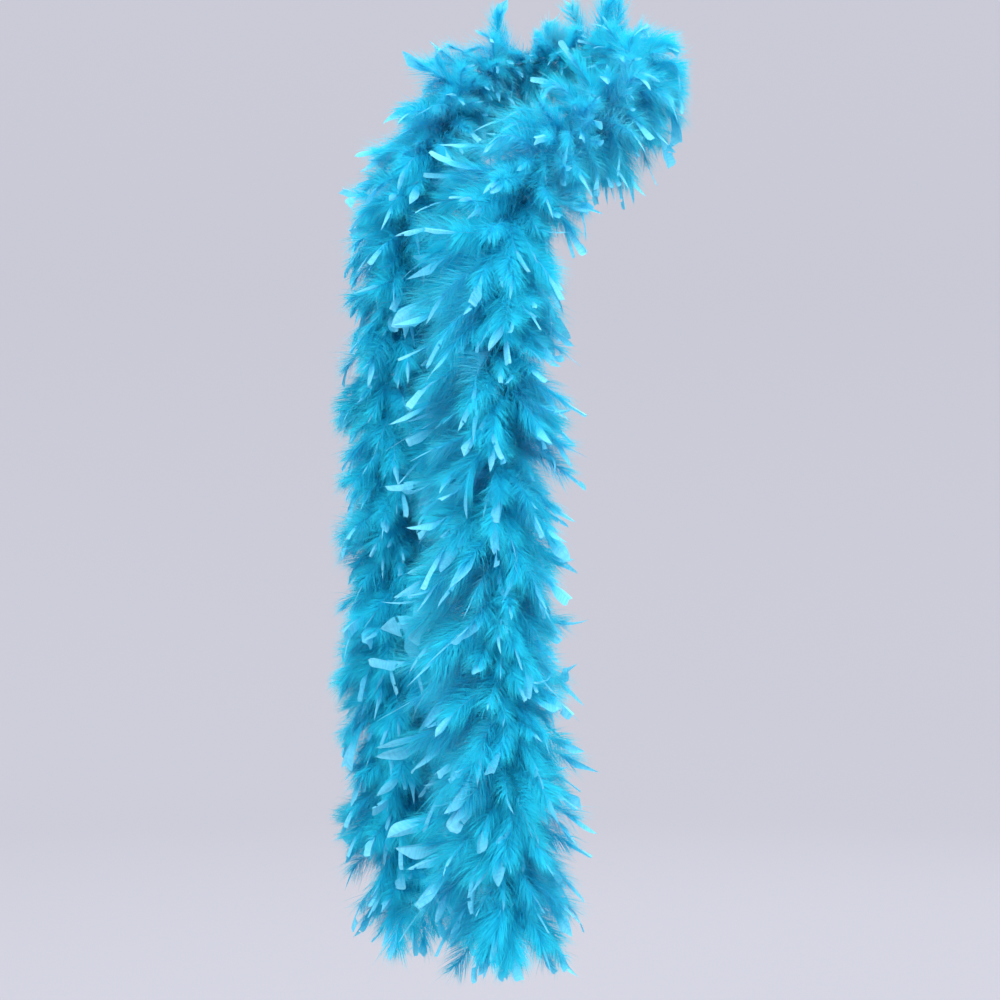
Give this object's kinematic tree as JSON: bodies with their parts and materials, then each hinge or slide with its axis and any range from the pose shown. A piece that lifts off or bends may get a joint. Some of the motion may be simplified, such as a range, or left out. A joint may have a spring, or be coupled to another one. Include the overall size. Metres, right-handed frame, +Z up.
{
  "type": "feather boa",
  "caption": "Long fluffy feather boa on a thin core cord, worn once round the neck with both ends hanging in front; each hang bends along its length.",
  "frame": {"origin": "on the axis of the wearer's neck, at the height where the loop rests on the shoulders", "axes": "+Z up; +X to the viewer's right as the boa is worn; -Y towards the viewer, who looks along +Y at both hanging ends"},
  "size_m": [0.4204, 0.4221, 1.1639],
  "materials": {
    "feathers": "matte",
    "core_cord": "matte",
    "binding_thread": "satin"
  },
  "bodies": {
    "neck_loop": {"core_cord_neck_loop": "core_cord", "neck_loop_feathers_1": "feathers", "neck_loop_feathers_2": "feathers", "neck_loop_feathers_3": "feathers", "neck_loop_feathers_4": "feathers", "neck_loop_feathers_5": "feathers", "neck_loop_feathers_6": "feathers", "neck_loop_feathers_7": "feathers", "neck_loop_feathers_8": "feathers", "neck_loop_feathers_9": "feathers", "neck_loop_feathers_10": "feathers", "neck_loop_feathers_11": "feathers", "neck_loop_feathers_12": "feathers", "neck_loop_feathers_13": "feathers", "neck_loop_feathers_14": "feathers"},
    "left_hang_1": {"core_cord_left_hang_1": "core_cord", "left_hang_1_feathers_1": "feathers", "left_hang_1_feathers_2": "feathers", "left_hang_1_feathers_3": "feathers", "left_hang_1_feathers_4": "feathers"},
    "left_hang_2": {"core_cord_left_hang_2": "core_cord", "left_hang_2_feathers_1": "feathers", "left_hang_2_feathers_2": "feathers", "left_hang_2_feathers_3": "feathers", "left_hang_2_feathers_4": "feathers"},
    "left_hang_3": {"core_cord_left_hang_3": "core_cord", "left_hang_3_feathers_1": "feathers", "left_hang_3_feathers_2": "feathers", "left_hang_3_feathers_3": "feathers", "left_hang_3_feathers_4": "feathers"},
    "left_hang_4": {"core_cord_left_hang_4": "core_cord", "left_hang_4_feathers_1": "feathers", "left_hang_4_feathers_2": "feathers", "left_hang_4_feathers_3": "feathers", "left_end_knot": "core_cord", "left_end_tuft": "feathers", "left_end_whipping": "binding_thread"},
    "right_hang_1": {"core_cord_right_hang_1": "core_cord", "right_hang_1_feathers_1": "feathers", "right_hang_1_feathers_2": "feathers", "right_hang_1_feathers_3": "feathers", "right_hang_1_feathers_4": "feathers"},
    "right_hang_2": {"core_cord_right_hang_2": "core_cord", "right_hang_2_feathers_1": "feathers", "right_hang_2_feathers_2": "feathers", "right_hang_2_feathers_3": "feathers", "right_hang_2_feathers_4": "feathers"},
    "right_hang_3": {"core_cord_right_hang_3": "core_cord", "right_hang_3_feathers_1": "feathers", "right_hang_3_feathers_2": "feathers", "right_hang_3_feathers_3": "feathers", "right_hang_3_feathers_4": "feathers"},
    "right_hang_4": {"core_cord_right_hang_4": "core_cord", "right_hang_4_feathers_1": "feathers", "right_hang_4_feathers_2": "feathers", "right_hang_4_feathers_3": "feathers", "right_end_knot": "core_cord", "right_end_tuft": "feathers", "right_end_whipping": "binding_thread"}
  },
  "joints": [
    {"name": "left_hang_1_bend_front_back", "type": "hinge", "parent": "neck_loop", "child": "left_hang_1", "pos_m": [-0.162, 0.01325, -0.2], "axis": [1, 0, 0], "range_deg": [-30, 30]},
    {"name": "left_hang_2_bend_sideways", "type": "hinge", "parent": "left_hang_1", "child": "left_hang_2", "pos_m": [-0.17623, 0.00862, -0.41], "axis": [0, -1, 0], "range_deg": [-30, 30]},
    {"name": "left_hang_3_bend_front_back", "type": "hinge", "parent": "left_hang_2", "child": "left_hang_3", "pos_m": [-0.17603, 0.00994, -0.62], "axis": [1, 0, 0], "range_deg": [-30, 30]},
    {"name": "left_hang_4_bend_sideways", "type": "hinge", "parent": "left_hang_3", "child": "left_hang_4", "pos_m": [-0.17367, 0.01151, -0.83], "axis": [0, -1, 0], "range_deg": [-30, 30]},
    {"name": "right_hang_1_bend_front_back", "type": "hinge", "parent": "neck_loop", "child": "right_hang_1", "pos_m": [-0.03525, -0.14875, -0.2], "axis": [1, 0, 0], "range_deg": [-30, 30]},
    {"name": "right_hang_2_bend_sideways", "type": "hinge", "parent": "right_hang_1", "child": "right_hang_2", "pos_m": [-0.04637, -0.15404, -0.41], "axis": [0, -1, 0], "range_deg": [-30, 30]},
    {"name": "right_hang_3_bend_front_back", "type": "hinge", "parent": "right_hang_2", "child": "right_hang_3", "pos_m": [-0.04606, -0.15395, -0.62], "axis": [1, 0, 0], "range_deg": [-30, 30]},
    {"name": "right_hang_4_bend_sideways", "type": "hinge", "parent": "right_hang_3", "child": "right_hang_4", "pos_m": [-0.04202, -0.15683, -0.83], "axis": [0, -1, 0], "range_deg": [-30, 30]}
  ]
}
